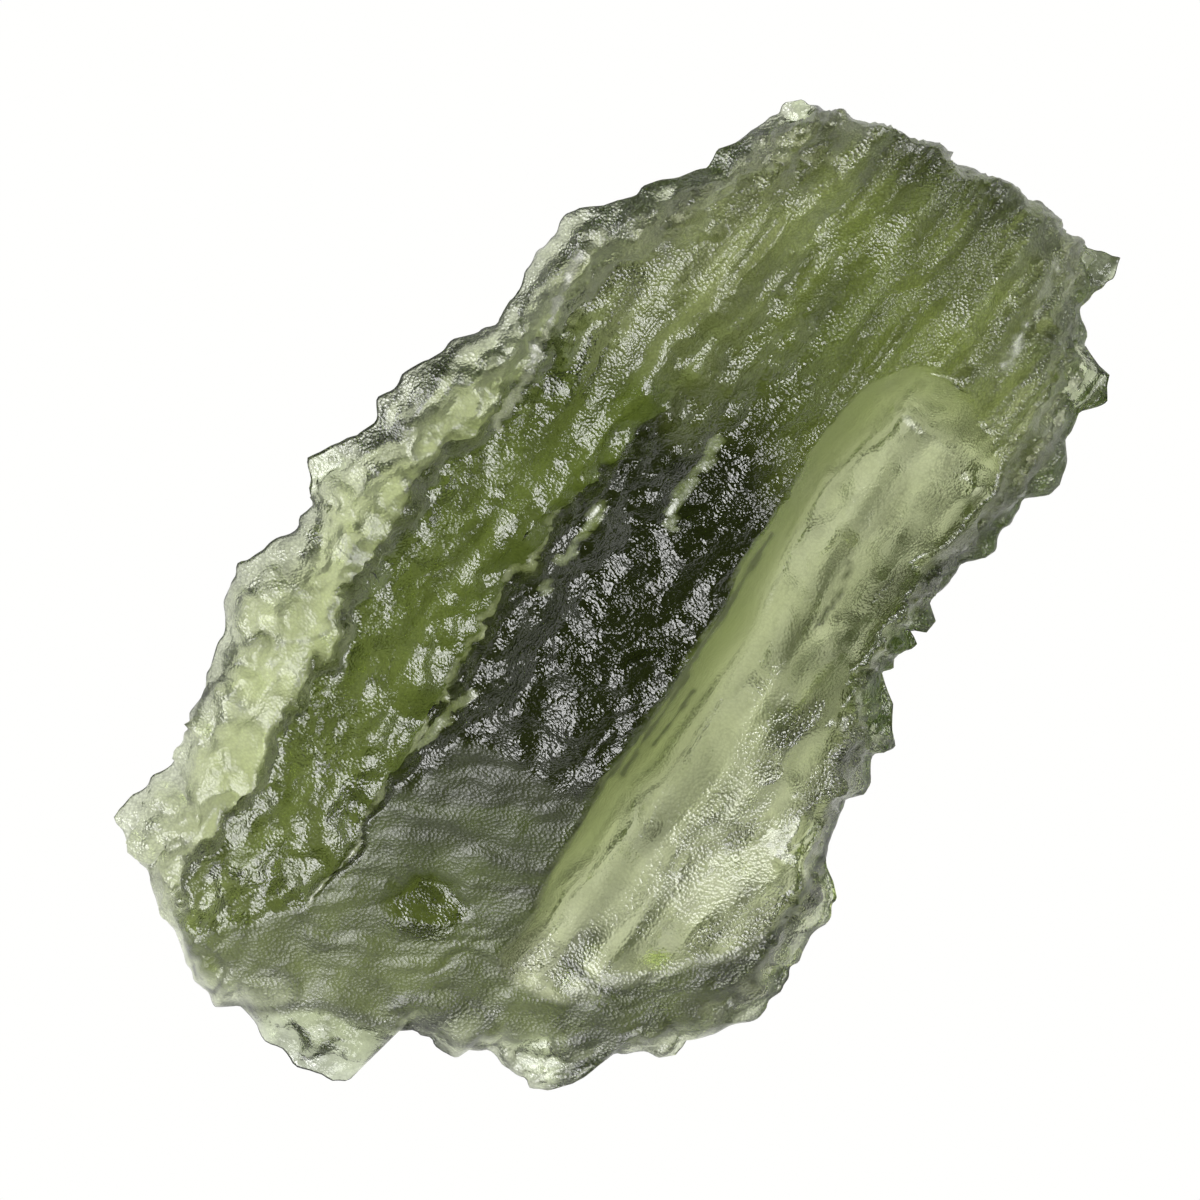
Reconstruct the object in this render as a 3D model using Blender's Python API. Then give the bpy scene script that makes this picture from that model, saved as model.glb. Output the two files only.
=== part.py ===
"""A raw moldavite: one solid splinter of natural green glass, lying on its flattest side.

The stone lies as it was photographed from straight above. +X runs along its furrows, +Y across
them to the thin edge, and +Z up. The outline and the furrows were read off the photograph by eye, in
its pixels, and are brought to real size by the stone's length. Heights are in millimetres.
"""

import math

import bpy
import numpy as np

MM = 0.001

# Driving sizes, in millimetres
STONE_LENGTH = 32.0  # from the low left corner to the tip of the upper right spur
LEAST_WALL = 0.35  # of the glass, a millimetre or more in from the rim

# The grid that each side is laid on
GRID_ALONG = 64
GRID_ACROSS = 39
FINE_ACROSS = 400
TEETH_FROM = 0.86  # share of the way across, past which the edge's teeth begin
SIDE_FALL = 4  # power by which a long side's bow dies away inwards, and an end's
END_FALL = 1

# How the photograph lies over the stone: pixels of the 1200 x 1200 frame
LEFT_CORNER_PX = (112, 818)
SPUR_TIP_PX = (1117, 260)
ORIGIN_PX = (628.3, 606.3)
FURROW_BEARING = math.radians(54)  # of the furrows, from the photograph's right hand side
PX_PER_MM = math.dist(LEFT_CORNER_PX, SPUR_TIP_PX) / STONE_LENGTH

# The outline in four stretches. The long edges only ever move forwards along the stone and the
# ends only ever move forwards across it, so that the grid never folds.
LEFT_EDGE_PX = [
    LEFT_CORNER_PX, (128, 793), (160, 772), (182, 742), (194, 710), (207, 690), (203, 674),
    (215, 652), (223, 615), (225, 588), (241, 562), (270, 544), (297, 524), (311, 504),
    (306, 458), (331, 447), (359, 436), (377, 416), (379, 399), (402, 377), (431, 361),
    (446, 344), (497, 322), (514, 299), (522, 271), (545, 249), (554, 229), (576, 208),
    (618, 207), (641, 188), (705, 168), (718, 150), (755, 130), (785, 104), (800, 102),
]
TOP_END_PX = [
    (800, 102), (850, 120), (905, 145), (932, 155), (950, 168), (985, 188), (1010, 198),
    (1042, 212), (1056, 226), (1076, 240), (1084, 251), (1099, 252), SPUR_TIP_PX,
]
RIGHT_EDGE_PX = [
    SPUR_TIP_PX, (1109, 281), (1086, 297), (1073, 308), (1080, 328), (1080, 354), (1105, 376),
    (1102, 402), (1078, 412), (1063, 440), (1062, 472), (1057, 486), (1019, 506), (1008, 521),
    (985, 558), (960, 567), (934, 592), (930, 603), (936, 622), (925, 632), (906, 627),
    (917, 643), (898, 653), (892, 668), (879, 669), (887, 688), (896, 706), (893, 745),
    (875, 755), (865, 795), (849, 801), (835, 831), (825, 855), (838, 900), (818, 930),
    (805, 945), (797, 963), (766, 1008), (745, 1022), (690, 1043), (676, 1057),
]
BOTTOM_END_PX = [
    (676, 1057), (659, 1059), (643, 1054), (617, 1051), (600, 1064), (584, 1078), (570, 1087),
    (548, 1091), (528, 1090), (518, 1077), (500, 1065), (487, 1052), (471, 1049), (456, 1060),
    (448, 1060), (431, 1042), (416, 1031), (398, 1033), (381, 1050), (365, 1066), (346, 1085),
    (329, 1085), (300, 1069), (270, 1045), (236, 1010), (214, 1007), (192, 980), (177, 948),
    (145, 880), (121, 836), LEFT_CORNER_PX,
]

# The furrows and ridges of the upper side, from the thin edge across to the toothed one. Each
# is read off from its low end upwards: pixel right, pixel down, height in millimetres.
RIM_SHELF = [
    (150, 830, 2.7), (235, 690, 3.1), (262, 600, 3.2), (330, 530, 3.1), (400, 430, 3.2),
    (470, 370, 3.3), (560, 270, 3.5), (640, 215, 3.7), (740, 160, 3.9),
]
STEP_FOOT = [
    (190, 860, 3.0), (247, 782, 3.3), (276, 730, 3.2), (312, 669, 3.2), (345, 602, 3.3),
    (386, 537, 3.3), (430, 465, 3.5), (500, 400, 3.9), (545, 335, 4.1), (590, 270, 4.3),
    (660, 225, 4.5), (750, 170, 4.7),
]
STEP_TOP = [
    (205, 870, 3.7), (262, 790, 4.6), (292, 738, 4.9), (328, 678, 5.0), (362, 612, 5.2),
    (402, 548, 5.1), (446, 478, 5.0), (517, 412, 5.0), (563, 346, 5.1), (611, 282, 5.2),
    (680, 234, 5.4), (768, 180, 5.6),
]
VALLEY_FLOOR = [
    (270, 890, 4.1), (330, 800, 4.3), (375, 730, 4.4), (425, 660, 4.4), (475, 590, 4.4),
    (525, 530, 4.5), (585, 455, 4.7), (645, 395, 4.9), (700, 325, 5.3), (745, 255, 5.8),
    (795, 190, 6.2), (835, 140, 6.3),
]
RIDGE_FOOT = [
    (330, 870, 4.5), (388, 788, 4.8), (420, 722, 5.0), (452, 684, 5.0), (480, 632, 5.1),
    (520, 562, 5.2), (562, 502, 5.4), (622, 442, 5.7), (690, 385, 6.0), (735, 330, 6.4),
    (777, 270, 6.8), (830, 200, 7.1), (870, 150, 6.9),
]
RIDGE_LIP = [
    (348, 880, 6.0), (405, 800, 6.6), (440, 738, 6.9), (472, 696, 7.0), (499, 645, 7.2),
    (539, 576, 7.4), (580, 516, 7.5), (640, 458, 7.6), (707, 402, 7.7), (752, 345, 7.8),
    (794, 284, 7.9), (847, 212, 7.9), (886, 162, 7.4),
]
RIDGE_CREST = [
    (390, 915, 6.6), (470, 800, 7.9), (530, 700, 8.5), (590, 612, 8.9), (650, 530, 9.1),
    (720, 455, 9.1), (790, 375, 8.9), (850, 295, 8.6), (902, 232, 8.3), (940, 180, 7.7),
]
TROUGH_LIP = [
    (480, 945, 6.6), (540, 862, 7.7), (600, 780, 8.0), (672, 680, 8.4), (722, 606, 8.6),
    (766, 535, 8.6), (802, 460, 8.4), (860, 400, 8.2), (930, 330, 7.6), (985, 270, 7.2),
    (1010, 215, 6.8),
]
FAR_CREST = [
    (640, 1005, 4.5), (722, 965, 5.0), (795, 890, 5.2), (832, 800, 5.2), (858, 700, 5.1),
    (912, 605, 5.4), (962, 530, 5.8), (1003, 458, 6.0), (1030, 380, 6.1), (1045, 300, 6.0),
    (1058, 250, 5.5),
]
FAR_FLANK = [
    (676, 1045, 3.4), (770, 990, 3.4), (828, 905, 3.5), (858, 800, 3.4), (885, 705, 3.3),
    (925, 615, 3.7), (990, 545, 3.9), (1050, 470, 4.0), (1070, 380, 4.0), (1078, 300, 4.0),
    (1082, 256, 4.0),
]

# The sharp ridges that a line of the grid follows, and its share of the way across
FOLLOWED = [(STEP_TOP, 0.20), (RIDGE_LIP, 0.42), (TROUGH_LIP, 0.62)]

# The smooth scoop that a flake left, beside the ridge
SCOOP_FAR_SIDE = [
    (655, 990, 4.6), (735, 955, 4.9), (798, 868, 5.0), (815, 780, 4.9), (830, 707, 4.8),
    (870, 612, 5.1), (930, 552, 5.4), (972, 500, 5.6), (1002, 432, 5.8), (1000, 395, 5.8),
]
SCOOP_FLOOR = 3.5
SCOOP_FLOOR_SHARES = (0.62, 0.72)  # of the way across it, between which its floor is level
SCOOP_WALL = 4.2  # how high its wall climbs to the ridge
SCOOP_ENDS = (-9.7, 8.5)  # along the stone
SCOOP_END_RUN = 0.75  # in which its ends climb a millimetre

# The flat that cuts across the low end of the ridges
END_FLAT_LINE_PX = [(190, 985), (680, 1046)]
END_FLAT_HEIGHT = 3.0  # at that line
END_FLAT_SLOPE = math.tan(math.radians(30))
CREASE = 0.25  # how far the cuts' edges are rounded over

# The etching of the upper side: its cups and swells are this long, this wide and this deep
ETCHED_CUPS = (1.9, 1.25, 0.30)
ETCHED_SWELLS = (1.25, 0.6, 0.12)
SCAR_SWELLS = (2.5, 1.1, 0.10)
FLAT_SWELLS = (1.0, 1.0, 0.12)
BENDS = (1.4, 1.4, 0.22)  # of the ridges, sideways

# How far in from each edge the upper side takes to reach its height: thin edge, toothed
# edge, low end, top end. The underside's rise is longer, all round.
EDGE_ROUND = (1.7, 1.1, 0.9, 0.5)
UNDER_ROUND = 3.4

# The rim, where the two sides meet: its height over the origin, its rise along and across,
# and its waves
RIM_HEIGHT = 2.4
RIM_RISE = (0.05, -0.03)
RIM_WAVES = (2.2, 2.2, 0.55)

# The underside: a round belly with furrows and cups, worn flat where it is lowest
BELLY_CENTRE = 1.0  # along the stone, under its middle of mass
BELLY_DEPTH = 0.10  # how far the flat is worn into it
BELLY_ALONG = 0.0062  # how fast the belly rises along and across the stone
BELLY_ACROSS = 0.014
BELLY_FURROWS = (6.2, 1.6, 0.30)
BELLY_CUPS = (2.6, 1.5, 0.34)


def from_photo(points):
    """Pixels of the photograph to the stone's own millimetres, along and across the furrows."""
    points = np.asarray(points, float)
    right = (points[:, 0] - ORIGIN_PX[0]) / PX_PER_MM
    up = (ORIGIN_PX[1] - points[:, 1]) / PX_PER_MM
    cos, sin = math.cos(FURROW_BEARING), math.sin(FURROW_BEARING)
    return np.column_stack([right * cos + up * sin, up * cos - right * sin])


def spread(edge_px, axis, count):
    """An edge of the outline, with its points spread evenly along the axis that it runs along."""
    points = from_photo(edge_px)
    points = points[np.argsort(points[:, axis])]
    wanted = np.linspace(points[0, axis], points[-1, axis], count)
    return np.column_stack([np.interp(wanted, points[:, axis], column) for column in points.T])


def parted(edge, axis):
    """How far an edge stands off the straight line between its ends, on one axis: its slow bow,
    which is the offset averaged over and over with its neighbours', and the teeth that are left."""
    offset = edge[:, axis] - np.linspace(edge[0, axis], edge[-1, axis], len(edge))
    bow = offset.copy()
    for _ in range(len(edge) // 5):
        bow[1:-1] = (bow[:-2] + 2 * bow[1:-1] + bow[2:]) / 4
    return bow, offset - bow


def fine_net(count_along):
    """Where the net's points lie on the plan, with many points across each row: the even net
    between the four corners, pushed out to each edge by its bow and its teeth. Both die away
    inwards, the teeth within a short way."""
    left = spread(LEFT_EDGE_PX, 0, count_along)
    right = spread(RIGHT_EDGE_PX, 0, count_along)
    low = spread(BOTTOM_END_PX, 1, FINE_ACROSS)[::-1]
    top = spread(TOP_END_PX, 1, FINE_ACROSS)[::-1]
    s = np.linspace(0, 1, count_along)[:, None]
    t = np.linspace(0, 1, FINE_ACROSS)[None, :]
    plan = [
        (1 - s) * ((1 - t) * low[0, k] + t * low[-1, k]) + s * ((1 - t) * top[0, k] + t * top[-1, k])
        for k in (0, 1)
    ]
    sides = [(left, 1 - t, 1, SIDE_FALL), (right, t, 1, SIDE_FALL)]
    ends = [(low, 1 - s, 0, END_FALL), (top, s, 0, END_FALL)]
    for edge, near, axis, fall in sides + ends:
        bow, teeth = (np.expand_dims(part, axis) for part in parted(edge, axis))
        tooth_share = np.clip((near - TEETH_FROM) / (1 - TEETH_FROM), 0, 1) ** 1.5
        plan[axis] = plan[axis] + bow * near**fall + teeth * tooth_share
    widths = np.hypot(*(right - left).T)
    lengths = np.hypot(*(top - low).T)
    return np.stack(plan, -1), widths, lengths


def crossings(plan, line):
    """The share of the way across each row at which a ridge or furrow crosses it."""
    place, _ = run_of(line, plan[..., 0])
    beyond = bent(plan[..., 0], plan[..., 1]) - place
    last = np.clip((beyond > 0).sum(1) - 1, 0, FINE_ACROSS - 2)[:, None]
    before = np.take_along_axis(beyond, last, 1)
    after = np.take_along_axis(beyond, last + 1, 1)
    return ((last + before / (before - after)) / (FINE_ACROSS - 1))[:, 0]


def net(count_along, count_across):
    """The grid's points on the plan and their distances from the four edges. The rows' points
    are slid sideways so that one line of them follows each of the sharp ridges."""
    plan, widths, lengths = fine_net(count_along)
    even = np.linspace(0, 1, count_across)[None, :]
    knots = [crossings(plan, line) for line, _ in FOLLOWED]
    knots = [np.zeros(count_along), *knots, np.ones(count_along)]
    last = count_across - 1
    shares = [0, *(round(share * last) / last for _, share in FOLLOWED), 1]
    t = np.zeros((count_along, count_across))
    for low, high, start, end in zip(shares, shares[1:], knots, knots[1:]):
        t = t + np.clip((even - low) / (high - low), 0, 1) * (end - start)[:, None]
    at = t * (FINE_ACROSS - 1)
    whole = np.minimum(at.astype(int), FINE_ACROSS - 2)
    part = at - whole
    x, y = (
        np.take_along_axis(plan[..., k], whole, 1) * (1 - part)
        + np.take_along_axis(plan[..., k], whole + 1, 1) * part
        for k in (0, 1)
    )
    length = np.interp(t, np.linspace(0, 1, FINE_ACROSS), lengths)
    s = np.linspace(0, 1, count_along)[:, None]
    width = widths[:, None]
    return x, y, (t * width, (1 - t) * width, s * length, (1 - s) * length)


def lattice(column, row, seed):
    """A number from 0 to 1 that looks random, the same for the same place: the fraction of a
    large multiple of a sine."""
    mixed = np.sin(column * 127.1 + row * 311.7 + seed * 74.7) * 43758.5453
    return mixed - np.floor(mixed)


def swell(x, y, size, seed):
    """Soft hills of a length, a width and a height: lattice numbers blended by a smooth step."""
    length, width, height = size
    x, y = x / length, y / width
    column, row = np.floor(x), np.floor(y)
    u, v = x - column, y - row
    u, v = u * u * (3 - 2 * u), v * v * (3 - 2 * v)
    near = lattice(column, row, seed) * (1 - u) + lattice(column + 1, row, seed) * u
    far = lattice(column, row + 1, seed) * (1 - u) + lattice(column + 1, row + 1, seed) * u
    return height * (2 * (near * (1 - v) + far * v) - 1)


def cups(x, y, size, seed):
    """Etched cups of a length, a width and a depth: the squared distance to the nearest of one
    point in each cell."""
    length, width, depth = size
    x, y = x / length, y / width
    column, row = np.floor(x), np.floor(y)
    nearest = np.full(np.shape(x), 9.0)
    for i in (-1, 0, 1):
        for j in (-1, 0, 1):
            away_x = column + i + lattice(column + i, row + j, seed) - x
            away_y = row + j + lattice(column + i, row + j, seed + 5) - y
            nearest = np.minimum(nearest, away_x**2 + away_y**2)
    return depth * nearest


def run_of(line, x):
    """A ridge or furrow's place across the stone, and its height, at each place along it."""
    line = np.asarray(line, float)
    place = from_photo(line[:, :2])
    order = np.argsort(place[:, 0])
    along = place[order, 0]
    return np.interp(x, along, place[order, 1]), np.interp(x, along, line[order, 2])


def bent(x, y):
    """The place across the stone, bent by slow swells, so that no ridge runs straight."""
    return y + swell(x, y, BENDS, 11)


def ridges(x, y):
    """The furrowed upper side: at each place along, a smooth step from each line to the next."""
    lines = (RIM_SHELF, STEP_FOOT, STEP_TOP, VALLEY_FLOOR, RIDGE_FOOT, RIDGE_LIP, RIDGE_CREST)
    lines += (TROUGH_LIP, FAR_CREST, FAR_FLANK)
    runs = [run_of(line, x) for line in lines]
    height = runs[0][1]
    for (start, low), (end, high) in zip(runs, runs[1:]):
        share = np.clip((start - y) / np.maximum(start - end, 0.05), 0, 1)
        height = height + (high - low) * share * share * (3 - 2 * share)
    return height


def scoop(x, y):
    """The flake scar: a level floor, a parabola up to each side, and a parabola up at each end."""
    lip, _ = run_of(TROUGH_LIP, x)
    far, far_height = run_of(SCOOP_FAR_SIDE, x)
    share = (y - far) / (lip - far)
    floor_from, floor_to = SCOOP_FLOOR_SHARES
    to_far = np.maximum(floor_from - share, 0) / floor_from
    to_lip = np.maximum(share - floor_to, 0) / (1 - floor_to)
    low_end, high_end = SCOOP_ENDS
    over = np.maximum(low_end - x, 0) + np.maximum(x - high_end, 0)
    climb = (far_height - SCOOP_FLOOR) * to_far**2 + SCOOP_WALL * to_lip**2
    return SCOOP_FLOOR + climb + (over / SCOOP_END_RUN) ** 2


def end_flat(x, y):
    """The plane across the low end, from its line up the stone."""
    start, end = from_photo(END_FLAT_LINE_PX)
    line = (end - start) / math.dist(start, end)
    inwards = (x - start[0]) * -line[1] + (y - start[1]) * line[0]
    return END_FLAT_HEIGHT + END_FLAT_SLOPE * inwards


def lower_of(one, other):
    """The lower of two heights, with the edge between them rounded by a parabola."""
    share = np.clip(0.5 + (other - one) / (2 * CREASE), 0, 1)
    return other + (one - other) * share - CREASE * share * (1 - share)


def rounded(distance, reach):
    """0 at the edge, 1 from reach inwards, as a parabola that starts steep."""
    return 1 - (1 - np.clip(distance / reach, 0, 1)) ** 2


def rim(x, y):
    """Height of the edge: a little higher towards the top end, with slow waves."""
    return RIM_HEIGHT + RIM_RISE[0] * x + RIM_RISE[1] * y + swell(x, y, RIM_WAVES, 3)


def upper_side(x, y, edges):
    """Ridges cut by the scoop and by the end's flat, with large etched cups, down to the rim."""
    cut = lower_of(ridges(x, bent(x, y)), end_flat(x, y) + swell(x, y, FLAT_SWELLS, 8))
    etched = cut + cups(x, y, ETCHED_CUPS, 21) + swell(x, y, ETCHED_SWELLS, 4)
    height = lower_of(etched, scoop(x, bent(x, y)) + swell(x, y, SCAR_SWELLS, 6))
    fade = np.ones(np.shape(x))
    for distance, reach in zip(edges, EDGE_ROUND):
        fade = fade * rounded(distance, reach)
    return rim(x, y) + (height - rim(x, y)) * fade


def underside(x, y, edges):
    """A shallow belly with long furrows and cups, worn flat where it would pass the surface."""
    bowl = BELLY_ALONG * (x - BELLY_CENTRE) ** 2 + BELLY_ACROSS * y**2 - BELLY_DEPTH
    belly = bowl + swell(x, y, BELLY_FURROWS, 31) + cups(x, y, BELLY_CUPS, 33)
    fade = np.ones(np.shape(x))
    for distance in edges:
        fade = fade * rounded(distance, UNDER_ROUND)
    return np.maximum(rim(x, y) + (belly - rim(x, y)) * fade, 0)


def stone_mesh(count_along, count_across):
    """Both sides on one grid each, sewn along the rim."""
    x, y, edges = net(count_along, count_across)
    from_rim = np.minimum.reduce(edges)
    inside = np.zeros(x.shape, bool)
    inside[1:-1, 1:-1] = True
    low = underside(x, y, edges)
    high = np.maximum(upper_side(x, y, edges), low + LEAST_WALL * rounded(from_rim, 1))
    low = np.where(inside, low, high)
    grid = np.arange(x.size).reshape(x.shape)
    under = np.where(inside, grid + x.size, grid)
    points = np.concatenate([np.stack([x, y, side], -1).reshape(-1, 3) for side in (high, low)])
    faces = []
    for sheet, order in ((grid, (0, 1, 2, 3)), (under, (3, 2, 1, 0))):
        corners = (sheet[:-1, :-1], sheet[:-1, 1:], sheet[1:, 1:], sheet[1:, :-1])
        faces.append(np.stack([corners[k].ravel() for k in order], 1))
    faces = np.concatenate(faces)
    used, faces = np.unique(faces, return_inverse=True)
    return points[used] * MM, faces.reshape(-1, 4)


def bottle_green_glass():
    """Clear green natural glass with an etched skin."""
    material = bpy.data.materials.new("bottle_green_glass")
    material.use_nodes = True
    shader = material.node_tree.nodes["Principled BSDF"]
    shader.inputs["Base Color"].default_value = (0.12, 0.17, 0.06, 1)
    shader.inputs["Roughness"].default_value = 0.25
    shader.inputs["Metallic"].default_value = 0
    shader.inputs["IOR"].default_value = 1.49
    return material


def build_stone():
    """The one solid, in place: its worn flat lies at height 0."""
    points, faces = stone_mesh(GRID_ALONG, GRID_ACROSS)
    mesh = bpy.data.meshes.new("moldavite")
    mesh.from_pydata(points.tolist(), [], faces.tolist())
    mesh.materials.append(bottle_green_glass())
    mesh.validate()
    mesh.shade_smooth()
    stone = bpy.data.objects.new("moldavite", mesh)
    bpy.context.scene.collection.objects.link(stone)
    return stone


def main():
    for existing in list(bpy.data.objects):
        bpy.data.objects.remove(existing)
    build_stone()


main()
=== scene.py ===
import math

import bpy
import numpy as np
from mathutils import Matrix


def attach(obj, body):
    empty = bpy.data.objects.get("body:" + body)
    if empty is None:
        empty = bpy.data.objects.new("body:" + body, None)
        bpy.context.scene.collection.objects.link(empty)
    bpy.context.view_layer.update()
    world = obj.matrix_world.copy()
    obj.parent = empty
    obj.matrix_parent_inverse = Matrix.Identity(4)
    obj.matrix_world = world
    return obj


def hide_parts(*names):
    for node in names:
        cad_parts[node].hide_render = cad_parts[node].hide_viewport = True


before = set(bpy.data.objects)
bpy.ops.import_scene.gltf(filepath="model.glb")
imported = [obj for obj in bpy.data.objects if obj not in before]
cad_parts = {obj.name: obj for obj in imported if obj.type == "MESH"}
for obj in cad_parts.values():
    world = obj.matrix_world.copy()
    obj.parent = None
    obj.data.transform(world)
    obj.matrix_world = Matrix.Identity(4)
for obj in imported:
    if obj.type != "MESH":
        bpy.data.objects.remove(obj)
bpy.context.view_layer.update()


# The stone
# A splinter of natural green glass: it splashed up molten, and acid in the ground etched furrows
# and cups into it. A later blow took a long smooth flake off it, and its low end is an old break.
# +X runs along its furrows, as in the solid, and lengths are in millimetres until the mesh.
MM = 0.001
STONE_LENGTH = 32.0  # from the low left corner to the tip of the upper right spur
LEAST_WALL = 0.35  # of the glass, a millimetre or more in from the rim

GRID_ALONG = 268
GRID_ACROSS = 184
FINE_ACROSS = 1200
END_ROWS = (1.5, 3.0)  # how many more rows there are at the low end and at the top end
END_REACH = 0.03  # share of the way along within which they thin out
TEETH_FROM = 0.86  # share of the way across, past which the edge's teeth begin
TEETH_FALL = 1.5  # power by which they die away inwards, and then a long side's and an end's bow
SIDE_FALL = 6
END_FALL = 1
SMALL_TEETH = ((0.55, 1, 0.10), (0.26, 1, 0.06))
SMALL_TEETH_REACH = 40  # they are at full height from a fortieth of the edge onwards

LEFT_CORNER_PX = (112, 818)
SPUR_TIP_PX = (1117, 260)
ORIGIN_PX = (628.3, 606.3)
FURROW_BEARING = math.radians(54)  # of the furrows, from the photograph's right hand side
PX_PER_MM = math.dist(LEFT_CORNER_PX, SPUR_TIP_PX) / STONE_LENGTH

# The outline in four stretches, as in the solid
LEFT_EDGE_PX = [
    LEFT_CORNER_PX, (128, 793), (160, 772), (182, 742), (194, 710), (207, 690), (203, 674),
    (215, 652), (223, 615), (225, 588), (241, 562), (270, 544), (297, 524), (311, 504),
    (306, 458), (331, 447), (359, 436), (377, 416), (379, 399), (402, 377), (431, 361),
    (446, 344), (497, 322), (514, 299), (522, 271), (545, 249), (554, 229), (576, 208),
    (618, 207), (641, 188), (705, 168), (718, 150), (755, 130), (785, 104), (800, 102),
]
TOP_END_PX = [
    (800, 102), (850, 120), (905, 145), (932, 155), (950, 168), (985, 188), (1010, 198),
    (1042, 212), (1056, 226), (1076, 240), (1084, 251), (1099, 252), SPUR_TIP_PX,
]
RIGHT_EDGE_PX = [
    SPUR_TIP_PX, (1109, 281), (1086, 297), (1073, 308), (1080, 328), (1080, 354), (1105, 376),
    (1102, 402), (1078, 412), (1063, 440), (1062, 472), (1057, 486), (1019, 506), (1008, 521),
    (985, 558), (960, 567), (934, 592), (930, 603), (936, 622), (925, 632), (906, 627),
    (917, 643), (898, 653), (892, 668), (879, 669), (887, 688), (896, 706), (893, 745),
    (875, 755), (865, 795), (849, 801), (835, 831), (825, 855), (838, 900), (818, 930),
    (805, 945), (797, 963), (766, 1008), (745, 1022), (690, 1043), (676, 1057),
]
BOTTOM_END_PX = [
    (676, 1057), (659, 1059), (643, 1054), (617, 1051), (600, 1064), (584, 1078), (570, 1087),
    (548, 1091), (528, 1090), (518, 1077), (500, 1065), (487, 1052), (471, 1049), (456, 1060),
    (448, 1060), (431, 1042), (416, 1031), (398, 1033), (381, 1050), (365, 1066), (346, 1085),
    (329, 1085), (300, 1069), (270, 1045), (236, 1010), (214, 1007), (192, 980), (177, 948),
    (145, 880), (121, 836), LEFT_CORNER_PX,
]

# The furrows and ridges of the upper side, from the thin edge across to the toothed one. Each
# is read off from its low end upwards: pixel right, pixel down, height in millimetres.
RIM_SHELF = [
    (150, 830, 2.7), (235, 690, 3.1), (262, 600, 3.2), (330, 530, 3.1), (400, 430, 3.2),
    (470, 370, 3.3), (560, 270, 3.5), (640, 215, 3.7), (740, 160, 3.9),
]
STEP_FOOT = [
    (190, 860, 3.0), (247, 782, 3.3), (276, 730, 3.2), (312, 669, 3.2), (345, 602, 3.3),
    (386, 537, 3.3), (430, 465, 3.5), (500, 400, 3.9), (545, 335, 4.1), (590, 270, 4.3),
    (660, 225, 4.5), (750, 170, 4.7),
]
STEP_TOP = [
    (205, 870, 3.7), (262, 790, 4.6), (292, 738, 4.9), (328, 678, 5.0), (362, 612, 5.2),
    (402, 548, 5.1), (446, 478, 5.0), (517, 412, 5.0), (563, 346, 5.1), (611, 282, 5.2),
    (680, 234, 5.4), (768, 180, 5.6),
]
VALLEY_FLOOR = [
    (270, 890, 4.1), (330, 800, 4.3), (375, 730, 4.4), (425, 660, 4.4), (475, 590, 4.4),
    (525, 530, 4.5), (585, 455, 4.7), (645, 395, 4.9), (700, 325, 5.3), (745, 255, 5.8),
    (795, 190, 6.2), (835, 140, 6.3),
]
RIDGE_FOOT = [
    (330, 870, 4.5), (388, 788, 4.8), (420, 722, 5.0), (452, 684, 5.0), (480, 632, 5.1),
    (520, 562, 5.2), (562, 502, 5.4), (622, 442, 5.7), (690, 385, 6.0), (735, 330, 6.4),
    (777, 270, 6.8), (830, 200, 7.1), (870, 150, 6.9),
]
RIDGE_LIP = [
    (348, 880, 6.0), (405, 800, 6.6), (440, 738, 6.9), (472, 696, 7.0), (499, 645, 7.2),
    (539, 576, 7.4), (580, 516, 7.5), (640, 458, 7.6), (707, 402, 7.7), (752, 345, 7.8),
    (794, 284, 7.9), (847, 212, 7.9), (886, 162, 7.4),
]
RIDGE_CREST = [
    (390, 915, 6.6), (470, 800, 7.9), (530, 700, 8.5), (590, 612, 8.9), (650, 530, 9.1),
    (720, 455, 9.1), (790, 375, 8.9), (850, 295, 8.6), (902, 232, 8.3), (940, 180, 7.7),
]
TROUGH_LIP = [
    (480, 945, 6.6), (540, 862, 7.7), (600, 780, 8.0), (672, 680, 8.4), (722, 606, 8.6),
    (766, 535, 8.6), (802, 460, 8.4), (860, 400, 8.2), (930, 330, 7.6), (985, 270, 7.2),
    (1010, 215, 6.8),
]
FAR_CREST = [
    (640, 1005, 4.5), (722, 965, 5.0), (795, 890, 5.2), (832, 800, 5.2), (858, 700, 5.1),
    (912, 605, 5.4), (962, 530, 5.8), (1003, 458, 6.0), (1030, 380, 6.1), (1045, 300, 6.0),
    (1058, 250, 5.5),
]
FAR_FLANK = [
    (676, 1045, 3.4), (770, 990, 3.4), (828, 905, 3.5), (858, 800, 3.4), (885, 705, 3.3),
    (925, 615, 3.7), (990, 545, 3.9), (1050, 470, 4.0), (1070, 380, 4.0), (1078, 300, 4.0),
    (1082, 256, 4.0),
]
LINES = (RIM_SHELF, STEP_FOOT, STEP_TOP, VALLEY_FLOOR, RIDGE_FOOT, RIDGE_LIP, RIDGE_CREST)
LINES += (TROUGH_LIP, FAR_CREST, FAR_FLANK)
LEAST_RUN = 0.05  # between two lines where they meet
FOLLOWED = [(STEP_TOP, 0.20), (RIDGE_LIP, 0.42), (TROUGH_LIP, 0.62)]  # at a share of each row

# The smooth scoop that a flake left, beside the ridge
SCOOP_FAR_SIDE = [
    (655, 990, 4.6), (735, 955, 4.9), (798, 868, 5.0), (815, 780, 4.9), (830, 707, 4.8),
    (870, 612, 5.1), (930, 552, 5.4), (972, 500, 5.6), (1002, 432, 5.8), (1000, 395, 5.8),
]
SCOOP_FLOOR = 3.5
SCOOP_FLOOR_SHARES = (0.62, 0.72)
SCOOP_WALL = 4.2
SCOOP_ENDS = (-9.7, 8.5)
SCOOP_END_RUN = 0.75

# The flat that cuts across the low end of the ridges
END_FLAT_LINE_PX = [(190, 985), (680, 1046)]
END_FLAT_HEIGHT = 3.0
END_FLAT_SLOPE = math.tan(math.radians(30))
FLAT_BEARING = math.radians(-4)  # of its ripples
CREASE = 0.25

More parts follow.
